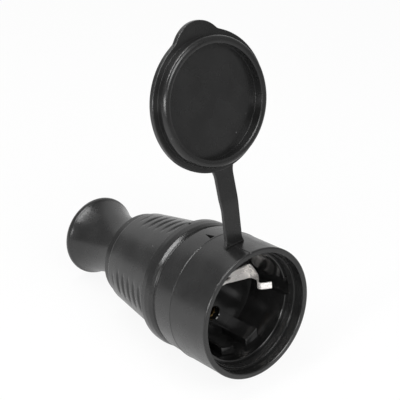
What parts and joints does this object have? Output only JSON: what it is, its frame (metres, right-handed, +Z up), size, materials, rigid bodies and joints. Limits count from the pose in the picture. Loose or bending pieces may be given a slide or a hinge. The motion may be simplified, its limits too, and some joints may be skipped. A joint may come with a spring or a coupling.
{
  "type": "inline socket connector",
  "caption": "Rubber inline mains socket with a hinged sealing cap, side earth springs, ribbed grip and a bell-shaped cable entry.",
  "frame": {"origin": "middle of the footprint of the connector lying on a table, at table height", "axes": "+Z up towards the open cap, the mouth looks along -Y and a little up, X across"},
  "size_m": [0.0502, 0.1038, 0.1314],
  "materials": {
    "black_rubber": "satin",
    "insert_plastic": "satin",
    "carrier_plastic": "satin",
    "brass": "plain",
    "nickel_sheet": "bright nickel plate",
    "zinc_steel": "zinc plate"
  },
  "bodies": {
    "housing": {"front_sleeve": "black_rubber", "rear_handle": "black_rubber", "cable_seal": "black_rubber", "socket_insert": "insert_plastic", "terminal_carrier": "carrier_plastic", "cord_clamp_saddle": "carrier_plastic", "cord_clamp_bar": "carrier_plastic", "live_contact": "brass", "neutral_contact": "brass", "earth_terminal": "brass", "earth_strip": "nickel_sheet", "live_contact_spring": "zinc_steel", "neutral_contact_spring": "zinc_steel", "live_terminal_screw": "zinc_steel", "neutral_terminal_screw": "zinc_steel", "earth_terminal_screw": "zinc_steel", "carrier_screws": "zinc_steel", "cord_clamp_screws": "zinc_steel", "thrust_washer": "zinc_steel"},
    "strap": {"cap_strap": "black_rubber"},
    "cap": {"cap": "black_rubber"}
  },
  "joints": [
    {"name": "strap_root_flex", "type": "hinge", "parent": "housing", "child": "strap", "pos_m": [0, -0.03573, 0.05326], "axis": [1, 0, 0], "range_deg": [0, 39.73]},
    {"name": "strap_middle_flex", "type": "hinge", "parent": "strap", "child": "cap", "pos_m": [0, -0.03317, 0.06835], "axis": [1, 0, 0], "range_deg": [0, 148.48], "stiffness_Nm_per_rad": 0.03}
  ],
  "couplings": [
    {"joint": "strap_root_flex", "follows": "strap_middle_flex", "ratio": 0.26753}
  ]
}
